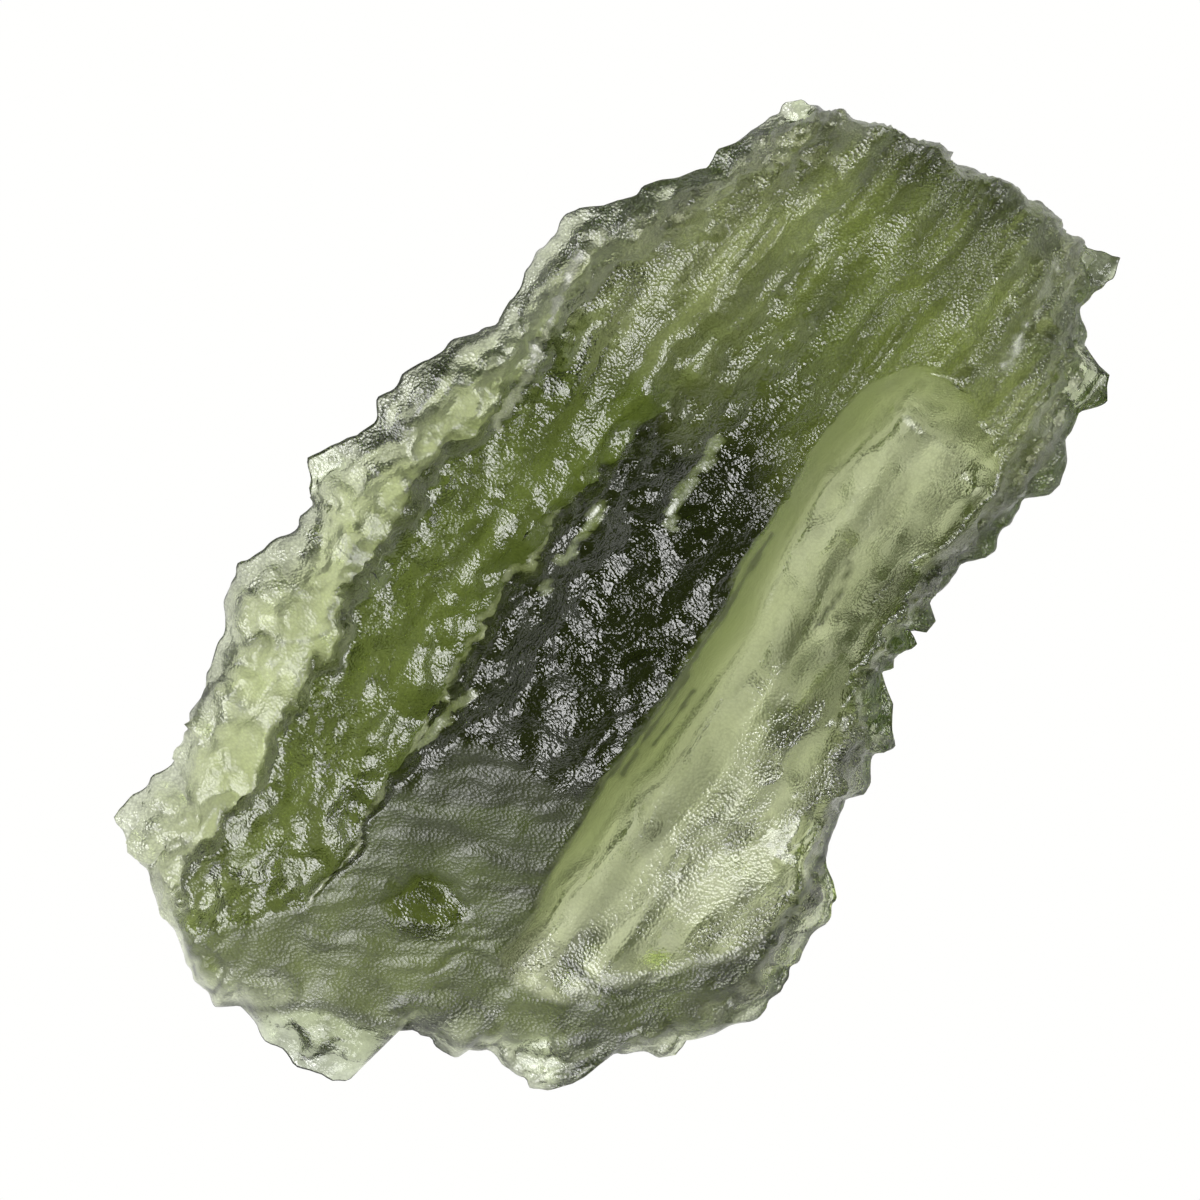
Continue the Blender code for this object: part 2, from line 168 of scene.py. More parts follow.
# Swells, cups and creases: how long, how wide and how deep
LATTICE_MIX = (127.1, 311.7, 74.7)
LATTICE_SCALE = 43758.5453
CUP_LEVEL = 0.2  # the squared distance at which a cup meets the level surface
CREASE_LEVEL = 0.7
ETCHED_CUPS = (1.9, 1.25, 0.30)
ETCHED_SWELLS = (1.25, 0.6, 0.12)
SCAR_SWELLS = (2.5, 1.1, 0.10)
FLAT_SWELLS = (1.0, 1.0, 0.05)
BENDS = (1.4, 1.4, 0.22)
WANDER = ((0.9, 0.7, 0.25), (0.8, 0.6, 0.18))
FLAT_SPARED = (0.6, 0.85)  # the part of the etched cups and swells that the end flat goes without
EDGE_ROUND = (1.7, 1.1, 0.9, 0.5)
UNDER_ROUND = 3.4
RIM_HEIGHT = 2.4
RIM_RISE = (0.05, -0.03)
RIM_WAVES = (2.2, 2.2, 0.55)
BELLY_CENTRE = 1.0
BELLY_DEPTH = 0.10
BELLY_ALONG = 0.0062
BELLY_ACROSS = 0.014
BELLY_FURROWS = (6.2, 1.6, 0.30)
BELLY_CUPS = (2.6, 1.5, 0.34)

# What the solid leaves out: scallops, wrinkles and grooves under a millimetre wide
FINE_BENDS = ((0.7, 0.7, 0.20), (0.33, 0.33, 0.14))
EDGE_LUMPS = ((0.8, 0.8, 0.45), (0.36, 0.36, 0.35))
VALLEY_SCALLOPS = (1.2, 0.95, 0.50)
FURROW_SCALLOPS = (2.4, 0.75, 0.40)
SHELF_COBBLES = (0.95, 0.75, -0.30)
RIDGE_SCALLOPS = (1.1, 0.75, 0.50)
RIDGE_WRINKLES = (0.26, 0.9, 0.045)
RIDGE_LINES = (1.5, 0.22, 0.22)
FAR_LUMPS = (0.75, 0.55, -0.50)
TOP_GROOVES = (3.2, 0.42, 0.28)
FINE_CUPS = (0.48, 0.38, 0.15)
SCAR_STREAKS = (2.6, 0.32, 0.05)
SCAR_CRINKLES = (0.7, 0.24, 0.06)
CRINKLED_PATCHES = ((1.6, 0.7, 0.6), (0.7, 0.3, 0.5))
WALL_CHIPS = ((0.75, 0.6, 0.30), (0.36, 0.30, 0.14))
CHIP_SKEW = 0.7
STEEP = (0.7, 1.8)  # slopes between which chips set in
LEAST_SLOPE = 0.1
CHIPS_FROM_RIM = 0.15
FLAT_WRINKLES = (1.8, 0.36, 0.09)
FLAT_RIPPLES = (2.6, 0.42, 1.8)
UNDER_SCALLOPS = (1.0, 0.78, -0.52)
UNDER_CREASES = (1.8, 0.60, 0.10)
UNDER_CUPS = (0.50, 0.36, 0.15)
WALL_SCALLOPS = 0.8  # of the valley's, on the step
TOP_SCALLOPS = 0.5
FINE_SPARED = (0.8, 0.4)  # the part of the fine cups that the end flat and the top go without
RELIEF_FROM_LEFT = 1.0  # how far in from the rim the fine relief is whole
RELIEF_FROM_OTHERS = 0.35
RELIEF_FROM_UNDER = 0.6
LEAST_LUMP = 0.2

# Each part of the skin: the square of the share of red, green and blue light that it lets
# through, its roughness, how deep its pits and its folds are, how mottled it is, and its coat.
# The dark shares, as of the ridge, step, valley, end flat and oval, are partly the etched skin's
# own dimming and partly painted shade for light that thick, steep glass bends away.
SKIN = {
    "shelf": (0.86, 0.96, 0.50, 0.42, 0.6, 1.6, 0.30, 0),
    "step": (0.10, 0.13, 0.035, 0.26, 1.2, 3.0, 0.7, 0),
    "valley": (0.115, 0.155, 0.029, 0.24, 0.8, 2.2, 0.45, 0),
    "ridge": (0.007, 0.008, 0.004, 0.15, 1.0, 4.5, 0, 0),
    "far": (1.0, 1.0, 0.82, 0.24, 1.6, 4.0, 0.88, 0.15),
    "end_flat": (0.022, 0.025, 0.009, 0.42, 0.8, 0.5, 0.3, 0),
    "flat_low": (0.085, 0.11, 0.025, 0.42, 0.8, 0.7, 0.4, 0),
    "top": (1.0, 1.0, 0.80, 0.30, 1.3, 1.4, 0.62, 0),
    "scar": (1.0, 1.0, 0.97, 0.20, 0.5, 0.4, 0.33, 0),
    "crumple": (1.0, 1.0, 0.92, 0.22, 1.5, 3.0, 0.6, 0),
    "rim": (0.74, 0.82, 0.52, 0.28, 1.2, 2.5, 0.4, 0),
    "flap": (0.60, 0.69, 0.43, 0.16, 0.5, 0.9, 0.5, 0),
    "chip": (0.64, 0.75, 0.40, 0.20, 0.7, 1.2, 0.35, 0),
    "bevel": (1.0, 1.0, 0.90, 0.36, 1.4, 4.5, 0.55, 0.2),
    "ledge": (1.0, 1.0, 0.9, 0.45, 1.6, 4.0, 0.3, 0.8),
    "oval": (0.042, 0.058, 0.006, 0.20, 0.7, 1.3, 0, 0),
    # dark lines: cracks, and painted shade along edges
    "crack_and_edge_shade": (0.06, 0.07, 0.04, 0.3, 1.0, 1.0, 0, 0),
}
MOTTLED = 6
SKIN_MAPS = {"rough": 3, "pitted": 4, "folded": 5, "coated": 7}

# Where each region begins and is whole: millimetres along, then a count of lines passed
TOP_FROM = (4.0, 10.0)
TOP_BENDS = (1.5, 1.5, 1.0)
UPPER_HALF = (0.0, 4.0)
FLAT_TOP_FADE = (-0.1, 0.25)
CREST_AT = 4.12
STEP_FROM = (0.9, 1.2)
VALLEY_FROM = (1.8, 2.0)
RIDGE_FROM = (CREST_AT - 0.1, CREST_AT + 0.15)
FAR_FROM = (7.0, 7.4)
LINED_FROM = (4.2, 4.4)
LINED_UNTIL = (5.0, 5.5)

# Crumpled patches of the scar: millimetres past its lip, millimetres to its low end, their share
CRUMPLED_PAST_LIP = (2.0, 3.6)
CRUMPLED_LOW_END = (7.2, 9.0)
CRUMPLED_SHARE = (-0.25, 0.35)

# Mottling, and the marks that lie over the regions
BANDS = (3.2, 0.38, 0.6)
BLOTCHES = (1.2, 0.6, 0.5)
MOTTLED_SHARE = (-0.55, 0.6)
LEDGES = [
    ([(424, 742), (440, 724), (462, 702), (478, 692)], 0.09),
    ([(548, 590), (566, 560), (590, 530), (606, 508)], 0.08),
    ([(663, 535), (672, 506), (688, 484), (711, 446)], 0.09),
    ([(578, 258), (556, 310), (530, 370), (500, 430)], 0.12),
    ([(1045, 268), (1030, 300), (1010, 340), (995, 373)], 0.13),
]
LEDGE_FADE = (0.6, 1.3)  # of a ledge's width
CREST_HALF = 0.24
CREST_HEIGHT = 0.14
CREST_BREAKS = (0.9, 0.9, 0.35)
CREST_FADE = (0.55, 0.85)
RAGS = (0.26, 0.26, 0.15)
FEWER_RAGS = 0.4
OVAL_PX = (428, 904)
OVAL_SIZE = (1.1, 0.90)
OVAL_FADE = (0.8, 1.15)
OVAL_SINKS = 0.25
OVAL_LEVELS = 0.8  # the part of the flat's slope that its floor goes without
FLAT_TOP_PX = [(600, 800), (560, 790), (500, 748), (440, 742), (380, 768), (340, 700)]
FLAT_LIGHTENS = (6.0, 9.5)  # millimetres from the middle to the low end
FLAP_LINE_PX = [(222, 1010), (262, 1014), (318, 1006), (372, 1024), (420, 1034), (448, 1058)]
FLAP_FADE = (0.15, 0.2)
BEVEL = (0.45, 0.75)  # millimetres in from the top end
CHIP_FADE = (0.6, 1.1)  # of a chip's reach
CHIPS = [
    ((888, 702), 1.2), ((908, 638), 0.7), ((1094, 388), 0.9), ((1098, 270), 0.8), ((322, 470), 0.7),
    ((835, 882), 0.6), ((542, 1062), 0.9), ((795, 110), 0.5),
]
# Dark lines: those along the scar's lip, the flap's edge and the scar's far side are painted shade at
# the edges, and the others are cracks and a ring
CRACKS_AND_SHADED_EDGES = [
    ([(848, 565), (838, 590), (826, 612), (815, 628)], 0.07),
    ([(622, 770), (640, 738), (662, 708), (684, 672)], 0.07),
    ([(652, 742), (672, 716), (690, 690)], 0.05),
    ([(222, 1006), (262, 1010), (318, 1002), (372, 1020), (420, 1030), (448, 1054)], 0.13),
    ([(470, 1046), (486, 1022), (500, 1004)], 0.10),
    ([(565, 958), (600, 985), (650, 992), (700, 978)], 0.10),
    ([(742, 968), (790, 905), (818, 862), (832, 838)], 0.12),
    ([(545, 860), (600, 782), (672, 682), (722, 608), (766, 537)], 0.09),
    ([(190, 946), (204, 938), (221, 950), (226, 975), (213, 994), (196, 985), (190, 946)], 0.05),
]
DARK_LINE_FADE = (0.4, 2)  # of a dark line's width

# A dark net of painted shade between the fine cups, the thin rim, and the dim streaks of painted shade
# on the underside
DARK_NET = (0.48, 0.38)
NET_DEPTH = 0.32
NET_BORDERS = (0.25, 0.6)
UNDER_BORDERS = (0.3, 0.7)
THIN_RIM = (0.5, 1.8)
UNDER_CLEAR = (1.0, 1.0, 0.97, 0.30, 0.5, 2.0, 0, 0)
# the underside's dim streaks, which are painted shade
UNDER_PAINTED_SHADE = (0.06, 0.07, 0.04, 0.30, 1.0, 2.0, 0, 0)
UNDER_STREAKS = (3.0, 0.42, 0.55)
UNDER_PATCHES = (1.5, 1.0, 0.5)
UNDER_THREADS = (1.2, 0.24, 0.40)
STREAK_SHARE = (-0.55, 0.4)
LEAST_PAINTED_SHADE = 0.1
PAINTED_SHADE_PAST_LIP = (1.6, 2.8)

# The glass, and the grain of its skin in the material
GLASS_IOR = 1.49
GLASS_TINT = (0.590, 0.656, 0.250, 1)
GLASS_DENSITY = 420  # per metre
COAT_IOR = 2.0
COAT_ROUGHNESS = 0.45
PITS_PER_M = (12000, 10500, 11000)
FOLDS_PER_M = 2900.0
PIT_DEPTHS = (0.1, 0.9)  # between which a pit's colour falls from the first share to the second, as painted shade
PIT_PAINTED_SHADE = (1.0, 0.45)
GRAIN_HEIGHT = 0.000025


def from_photo(points):
    """Pixels of the photograph to millimetres along and across the furrows: a shift, a turn by
    the furrows' bearing and a scale."""
    points = np.asarray(points, float)
    right = (points[:, 0] - ORIGIN_PX[0]) / PX_PER_MM
    up = (ORIGIN_PX[1] - points[:, 1]) / PX_PER_MM
    cos, sin = math.cos(FURROW_BEARING), math.sin(FURROW_BEARING)
    return np.column_stack([right * cos + up * sin, up * cos - right * sin])


def lattice(column, row, seed):
    """A number from 0 to 1 that looks random: the fraction of a large multiple of a sine."""
    by_column, by_row, by_seed = LATTICE_MIX
    mixed = np.sin(column * by_column + row * by_row + seed * by_seed) * LATTICE_SCALE
    return mixed - np.floor(mixed)


def swell(x, y, size, seed):
    """Soft hills of a length, a width and a height: lattice numbers blended by a smooth step."""
    length, width, height = size
    x, y = x / length, y / width
    column, row = np.floor(x), np.floor(y)
    u, v = x - column, y - row
    u, v = u * u * (3 - 2 * u), v * v * (3 - 2 * v)
    near = lattice(column, row, seed) * (1 - u) + lattice(column + 1, row, seed) * u
    far = lattice(column, row + 1, seed) * (1 - u) + lattice(column + 1, row + 1, seed) * u
    return height * (2 * (near * (1 - v) + far * v) - 1)


def cells(x, y, size, seed):
    """Cells of a length and a width: the squared distance to the nearest of one point in each,
    about 0 in their middles and 0.5 and more along their borders."""
    x, y = x / size[0], y / size[1]
    column, row = np.floor(x), np.floor(y)
    nearest = np.full(np.shape(x), np.inf)
    for i in (-1, 0, 1):
        for j in (-1, 0, 1):
            away_x = column + i + lattice(column + i, row + j, seed) - x
            away_y = row + j + lattice(column + i, row + j, seed + 5) - y
            nearest = np.minimum(nearest, away_x**2 + away_y**2)
    return nearest


def cups(x, y, size, seed):
    """Etched cups of a length, a width and a depth, one in each cell. A depth below nought turns
    them into cobbles."""
    return size[2] * (cells(x, y, size, seed) - CUP_LEVEL)


def creases(x, y, size, seed):
    """Sharp narrow valleys between broad backs: the height times the absolute value of a swell."""
    length, width, height = size
    return height * (np.abs(swell(x, y, (length, width, 1), seed)) * 2 - CREASE_LEVEL)


def step(value, low, high):
    """0 below low, 1 above high, and a smooth step between."""
    share = np.clip((value - low) / (high - low), 0, 1)
    return share * share * (3 - 2 * share)


def off_line(x, y, points_px):
    """Distance from a line drawn through points of the photograph: to its nearest stretch."""
    points = from_photo(points_px)
    nearest = np.full(np.shape(x), np.inf)
    for (ax, ay), (bx, by) in zip(points, points[1:]):
        share = ((x - ax) * (bx - ax) + (y - ay) * (by - ay)) / ((bx - ax) ** 2 + (by - ay) ** 2)
        share = np.clip(share, 0, 1)
        off = np.hypot(x - ax - share * (bx - ax), y - ay - share * (by - ay))
        nearest = np.minimum(nearest, off)
    return nearest


def rows_along():
    """Where the grid's rows lie, as shares of the way along: their gaps shrink towards both
    ends, where the stone falls off steeply."""
    even = np.linspace(0, 1, GRID_ALONG - 1)
    more = END_ROWS[0] * np.exp(-even / END_REACH) + END_ROWS[1] * np.exp((even - 1) / END_REACH)
    gaps = 1 / (1 + more)
    return np.append(0, np.cumsum(gaps) / gaps.sum())


def spread(edge_px, axis, shares):
    """An edge of the outline, with its points at these shares of the axis that it runs along,
    and small teeth added: swells along it, each half as long and half as tall as the last."""
    points = from_photo(edge_px)
    points = points[np.argsort(points[:, axis])]
    wanted = points[0, axis] + (points[-1, axis] - points[0, axis]) * shares
    edge = np.column_stack([np.interp(wanted, points[:, axis], column) for column in points.T])
    teeth = sum(swell(wanted, 0 * wanted, size, 41 + k) for k, size in enumerate(SMALL_TEETH))
    edge[:, 1 - axis] += teeth * np.clip(SMALL_TEETH_REACH * np.minimum(shares, 1 - shares), 0, 1)
    return edge


def parted(edge, axis, shares):
    """How far an edge stands off the straight line between its ends, on one axis: its slow bow,
    which is the offset averaged over and over with its neighbours', and the teeth that are left."""
    offset = edge[:, axis] - edge[0, axis] - (edge[-1, axis] - edge[0, axis]) * shares
    bow = offset.copy()
    for _ in range(len(edge) // 2):
        bow[1:-1] = (bow[:-2] + 2 * bow[1:-1] + bow[2:]) / 4
    return bow, offset - bow


def fine_net():
    """Where the net's points lie on the plan, with many points across each row: the even net
    between the four corners, pushed out to each edge by its bow and its teeth. Both die away
    inwards, the teeth within a short way."""
    rows, fine = rows_along(), np.linspace(0, 1, FINE_ACROSS)
    left = spread(LEFT_EDGE_PX, 0, rows)
    right = spread(RIGHT_EDGE_PX, 0, rows)
    low = spread(BOTTOM_END_PX, 1, fine)[::-1]
    top = spread(TOP_END_PX, 1, fine)[::-1]
    s, t = rows[:, None], fine[None, :]
    plan = [
        (1 - s) * ((1 - t) * low[0, k] + t * low[-1, k]) + s * ((1 - t) * top[0, k] + t * top[-1, k])
        for k in (0, 1)
    ]
    sides = [(left, 1 - t, 1, SIDE_FALL), (right, t, 1, SIDE_FALL)]
    ends = [(low, 1 - s, 0, END_FALL), (top, s, 0, END_FALL)]
    for edge, near, axis, fall in sides + ends:
        parts = parted(edge, axis, rows if axis else fine)
        bow, teeth = (np.expand_dims(part, axis) for part in parts)
        tooth_share = np.clip((near - TEETH_FROM) / (1 - TEETH_FROM), 0, 1) ** TEETH_FALL
        plan[axis] = plan[axis] + bow * near**fall + teeth * tooth_share
    widths = np.hypot(*(right - left).T)
    lengths = np.hypot(*(top - low).T)
    return np.stack(plan, -1), widths, lengths


def run_of(line, x):
    """A ridge or furrow's place across the stone, and its height, at each place along it."""
    line = np.asarray(line, float)
    place = from_photo(line[:, :2])
    order = np.argsort(place[:, 0])
    along = place[order, 0]
    return np.interp(x, along, place[order, 1]), np.interp(x, along, line[order, 2])


def bent(x, y):
    """The place across the stone, bent by slow swells, so that no ridge runs straight."""
    return y + swell(x, y, BENDS, 11)


def crossings(plan, line):
    """The share of the way across each row at which a ridge or furrow crosses it."""
    place, _ = run_of(line, plan[..., 0])
    beyond = bent(plan[..., 0], plan[..., 1]) - place
    last = np.clip((beyond > 0).sum(1) - 1, 0, FINE_ACROSS - 2)[:, None]
    before = np.take_along_axis(beyond, last, 1)
    after = np.take_along_axis(beyond, last + 1, 1)
    return ((last + before / (before - after)) / (FINE_ACROSS - 1))[:, 0]


def across_rows(values, t):
    """Values at shares of the way across each row, read between its fine points."""
    at = t * (FINE_ACROSS - 1)
    whole = np.minimum(at.astype(int), FINE_ACROSS - 2)
    part = at - whole
    before, after = (np.take_along_axis(values, whole + k, 1) for k in (0, 1))
    return before * (1 - part) + after * part


def way_over(plan, widths):
    """How far each fine point lies along its row over the stone's body, up and down its walls,
    as a share of the row's whole way."""
    x, y = plan[..., 0], plan[..., 1]
    t = np.linspace(0, 1, FINE_ACROSS)[None, :]
    body, _ = lower_of(end_flat(x, y), ridges(x, bent(x, y))[0])
    body, _ = lower_of(scoop(x, bent(x, y)), body)
    for distance, reach in zip((t * widths[:, None], (1 - t) * widths[:, None]), EDGE_ROUND):
        body = RIM_HEIGHT + (body - RIM_HEIGHT) * rounded(distance, reach)
    steps = np.hypot(np.hypot(np.diff(x), np.diff(y)), np.diff(body))
    way = np.cumsum(np.pad(steps, ((0, 0), (1, 0))), 1)
    return way / way[:, -1:]


def net():
    """The grid's points on the plan and their distances from the four edges. The points of each
    row are slid sideways so that one line of them follows each of the sharp ridges, and so that
    they lie evenly between those, on the walls as on the flats."""
    plan, widths, lengths = fine_net()
    way = way_over(plan, widths)
    even = np.linspace(0, 1, GRID_ACROSS)[None, :]
    knots = [across_rows(way, crossings(plan, line)[:, None]) for line, _ in FOLLOWED]
    knots = [np.zeros((GRID_ALONG, 1)), *knots, np.ones((GRID_ALONG, 1))]
    last = GRID_ACROSS - 1
    shares = [0, *(round(share * last) / last for _, share in FOLLOWED), 1]
    run = np.zeros((GRID_ALONG, GRID_ACROSS))
    for low, high, start, end in zip(shares, shares[1:], knots, knots[1:]):
        run = run + np.clip((even - low) / (high - low), 0, 1) * (end - start)
    apart = 2.0 * np.arange(GRID_ALONG)[:, None]  # keeps each row's shares above the last row's
    fine = np.broadcast_to(np.linspace(0, 1, FINE_ACROSS), way.shape)
    t = np.interp((run + apart).ravel(), (way + apart).ravel(), fine.ravel()).reshape(run.shape)
    x, y = (across_rows(plan[..., k], t) for k in (0, 1))
    length = np.interp(t, np.linspace(0, 1, FINE_ACROSS), lengths)
    s = rows_along()[:, None]
    width = widths[:, None]
    return x, y, (t * width, (1 - t) * width, s * length, (1 - s) * length)


def ridges(x, y):
    """The furrowed upper side: a smooth step from each line to the next. With it comes how many
    lines have been passed: 0 on the shelf, 2 at the step, 5 at the ridge's lip, 7 at the scoop's."""
    runs = [run_of(line, x) for line in LINES]
    height = runs[0][1]
    passed = 0
    for (start, low), (end, high) in zip(runs, runs[1:]):
        share = np.clip((start - y) / np.maximum(start - end, LEAST_RUN), 0, 1)
        height = height + (high - low) * share * share * (3 - 2 * share)
        passed = passed + share
    return height, passed


def scoop(x, y):
    """The flake scar: a level floor, a parabola up to each side, and a parabola up at each end."""
    lip, _ = run_of(TROUGH_LIP, x)
    far, far_height = run_of(SCOOP_FAR_SIDE, x)
    share = (y - far) / (lip - far)
    floor_from, floor_to = SCOOP_FLOOR_SHARES
    to_far = np.maximum(floor_from - share, 0) / floor_from
    to_lip = np.maximum(share - floor_to, 0) / (1 - floor_to)
    low_end, high_end = SCOOP_ENDS
    over = np.maximum(low_end - x, 0) + np.maximum(x - high_end, 0)
    climb = (far_height - SCOOP_FLOOR) * to_far**2 + SCOOP_WALL * to_lip**2
    return SCOOP_FLOOR + climb + (over / SCOOP_END_RUN) ** 2


def end_flat(x, y):
    """The plane across the low end, from its line up the stone."""
    start, end = from_photo(END_FLAT_LINE_PX)
    line = (end - start) / math.dist(start, end)
    inwards = (x - start[0]) * -line[1] + (y - start[1]) * line[0]
    return END_FLAT_HEIGHT + END_FLAT_SLOPE * inwards


def lower_of(one, other):
    """The lower of two heights, with the edge between them rounded by a parabola. With it comes
    how far the first one is the lower, from 0 to 1."""
    share = np.clip(0.5 + (other - one) / (2 * CREASE), 0, 1)
    return other + (one - other) * share - CREASE * share * (1 - share), share


def rounded(distance, reach):
    """0 at the edge, 1 from reach inwards, as a parabola that starts steep."""
    return 1 - (1 - np.clip(distance / reach, 0, 1)) ** 2


def rim(x, y):
    """Height of the edge: a little higher towards the top end, with slow waves."""
    return RIM_HEIGHT + RIM_RISE[0] * x + RIM_RISE[1] * y + swell(x, y, RIM_WAVES, 3)


def turned(x, y, bearing):
    """The place in axes that are turned to a bearing of the photograph."""
    angle = bearing - FURROW_BEARING
    return x * math.cos(angle) + y * math.sin(angle), y * math.cos(angle) - x * math.sin(angle)


def wavy(x, y, seed):
    """The place, shifted by small swells, so that cups and cobbles aren't regular."""
    return x + swell(x, y, WANDER[0], seed), y + swell(x, y, WANDER[1], seed + 1)


def chipped(x, y, height, loose):
    """How far to push each point sideways, so that steep walls show chips: cups on a wall, as a
    function of the way along it and of height, times its steepness, away from it."""
    change = [np.gradient(each) for each in (x, y, height)]
    (x_s, x_t), (y_s, y_t), (height_s, height_t) = change
    area = x_s * y_t - x_t * y_s
    slope_x = (height_s * y_t - height_t * y_s) / area
    slope_y = (height_t * x_s - height_s * x_t) / area
    steep = np.hypot(slope_x, slope_y)
    chips = sum(cups(x + CHIP_SKEW * y, height, chip, 88 + k) for k, chip in enumerate(WALL_CHIPS))
    push = loose * step(steep, *STEEP) * chips
    steep = np.maximum(steep, LEAST_SLOPE)
    return x - push * slope_x / steep, y - push * slope_y / steep


def regions(x, y):
    """The upper side before its fine relief. With it comes the share, from 0 to 1, that each of
    its regions has of a place: smooth steps in the way along and in the number of lines passed."""
    across = bent(x, y)
    ragged = across + sum(swell(x, y, bends, 12 + k) for k, bends in enumerate(FINE_BENDS))
    furrowed, passed = ridges(x, ragged)
    cut, broken = lower_of(end_flat(x, y) + swell(x, y, FLAT_SWELLS, 8), furrowed)
    cupped = cut + (1 - FLAT_SPARED[0] * broken) * cups(x, y, ETCHED_CUPS, 21)
    etched = cupped + CUP_LEVEL * ETCHED_CUPS[2]
    etched = etched + (1 - FLAT_SPARED[1] * broken) * swell(x, y, ETCHED_SWELLS, 4)
    height, scar = lower_of(scoop(x, across) + swell(x, y, SCAR_SWELLS, 6), etched)

    flat_top_x, flat_top_y = from_photo(FLAT_TOP_PX).T
    past_flat = step(x - np.interp(ragged, flat_top_y, flat_top_x), *FLAT_TOP_FADE)
    unbroken = broken * (1 - scar) * past_flat
    broken = broken * (1 - scar) - unbroken
    skin = (1 - broken) * (1 - scar)
    top = step(x + swell(x, y, TOP_BENDS, 16), *TOP_FROM) * skin
    skin = skin - top
    shelf = (1 - step(passed, *STEP_FROM)) * skin
    wall = step(passed, *STEP_FROM) * (1 - step(passed, *VALLEY_FROM)) * skin
    valley = step(passed, *VALLEY_FROM) * (1 - step(passed, *RIDGE_FROM)) * skin
    far = step(passed, *FAR_FROM) * skin
    skin = skin - unbroken
    ridge = np.clip(skin - shelf - wall - valley - far, 0, 1) + unbroken

    flat_x, flat_y = turned(*wavy(x, y, 51), FLAT_BEARING)
    lightened = swell(x, y, BENDS, 17) + swell(flat_x, flat_y, FLAT_RIPPLES, 18) - x
    lip, _ = run_of(TROUGH_LIP, x)
    patches = sum(swell(x, y, patch, 90 + k) for k, patch in enumerate(CRINKLED_PATCHES))
    crumple = step(lip - across, *CRUMPLED_PAST_LIP) + step(-x, *CRUMPLED_LOW_END)
    off_crest = np.abs(passed - CREST_AT + FEWER_RAGS * swell(x, y, RAGS, 83))
    upper = step(x, *UPPER_HALF)
    return height, {
        "shelf": shelf, "step": wall, "valley": valley, "ridge": ridge, "far": far, "top": top,
        "broken": broken, "flat_low": broken * step(lightened, *FLAT_LIGHTENS), "scar": scar,
        "crumple": scar * np.clip(crumple, 0, 1) * step(patches, *CRUMPLED_SHARE),
        "crest": np.clip(1 - off_crest / CREST_HALF, 0, 1) * (1 - upper) * skin,
        "lined": step(passed, *LINED_FROM) * (1 - step(passed, *LINED_UNTIL)) * ridge,
        "upper": upper,
    }


def fine_relief(x, y, part):
    """What the solid leaves out of each region, in its share: scallops, cobbles, grooves,
    wrinkles and small cups."""
    wavy_x, wavy_y = wavy(x, y, 51)
    flat_x, flat_y = turned(wavy_x, wavy_y, FLAT_BEARING)
    upper = part["upper"]
    low_scallops = (1 - upper) * cups(wavy_x, wavy_y, VALLEY_SCALLOPS, 62)
    scallops = low_scallops + upper * cups(wavy_x, wavy_y, FURROW_SCALLOPS, 75)
    foil = cups(wavy_x, wavy_y, RIDGE_SCALLOPS, 63) + creases(wavy_x, wavy_y, RIDGE_WRINKLES, 74)
    grooves = creases(x, y, TOP_GROOVES, 65)
    grooves = grooves + TOP_SCALLOPS * cups(wavy_x, wavy_y, FURROW_SCALLOPS, 66)
    grained = 1 - FINE_SPARED[0] * part["broken"] - FINE_SPARED[1] * part["top"]
    return (
        part["shelf"] * cups(wavy_x, wavy_y, SHELF_COBBLES, 61)
        + CREST_HEIGHT * part["crest"]
        + part["lined"] * creases(x, y, RIDGE_LINES, 77)
        + (part["valley"] + WALL_SCALLOPS * part["step"]) * scallops
        + part["ridge"] * foil
        + part["far"] * cups(wavy_x, wavy_y, FAR_LUMPS, 64)
        + part["top"] * grooves
        + part["broken"] * creases(flat_x, flat_y, FLAT_WRINKLES, 67)
        + part["scar"] * swell(x, y, SCAR_STREAKS, 68)
        + part["crumple"] * creases(wavy_x, wavy_y, SCAR_CRINKLES, 70)
        + (1 - part["scar"]) * grained * cups(wavy_x, wavy_y, FINE_CUPS, 69)
    )


def marks(x, y, edges, crest):
    """The shares of the marks that lie over the regions: each is 1 within its reach and falls to
    0 by a smooth step, along a border that small swells make ragged."""
    rags = swell(x, y, RAGS, 83)
    flap_x, flap_y = from_photo(FLAP_LINE_PX).T
    flap = step(np.interp(y, flap_y[::-1], flap_x[::-1]) - x, 0, FLAP_FADE[0])
    flap = flap * step(y, flap_y[-1], flap_y[-1] + FLAP_FADE[1])
    bevel = 1 - step(edges[3] + 2 * rags, *BEVEL)
    chip = 0 * x
    for spot_px, reach in CHIPS:
        (spot_x, spot_y), = from_photo([spot_px])
        off = np.hypot(x - spot_x, y - spot_y) + 2 * rags
        chip = np.maximum(chip, 1 - step(off, CHIP_FADE[0] * reach, CHIP_FADE[1] * reach))
    ledge = step(crest + swell(x, y, CREST_BREAKS, 78), *CREST_FADE)
    for points_px, width in LEDGES:
        off = off_line(x, y, points_px) + rags
        ledge = np.maximum(ledge, 1 - step(off, width * LEDGE_FADE[0], width * LEDGE_FADE[1]))
    (oval_x, oval_y), = from_photo([OVAL_PX])
    out_x, out_y = turned(x - oval_x, y - oval_y, 0)
    oval = 1 - step(np.hypot(out_x / OVAL_SIZE[0], out_y / OVAL_SIZE[1]) + rags, *OVAL_FADE)
    # dark lines: cracks, and painted shade along edges
    crack_and_edge_shade = 0 * x
    for points_px, width in CRACKS_AND_SHADED_EDGES:
        off = off_line(x, y, points_px) + FEWER_RAGS * rags
        crack_and_edge_shade = np.maximum(crack_and_edge_shade, 1 - step(off, DARK_LINE_FADE[0] * width, DARK_LINE_FADE[1] * width))
    return {
        "flap": flap, "bevel": bevel, "chip": chip, "ledge": ledge, "oval": oval,
        "crack_and_edge_shade": crack_and_edge_shade,
    }


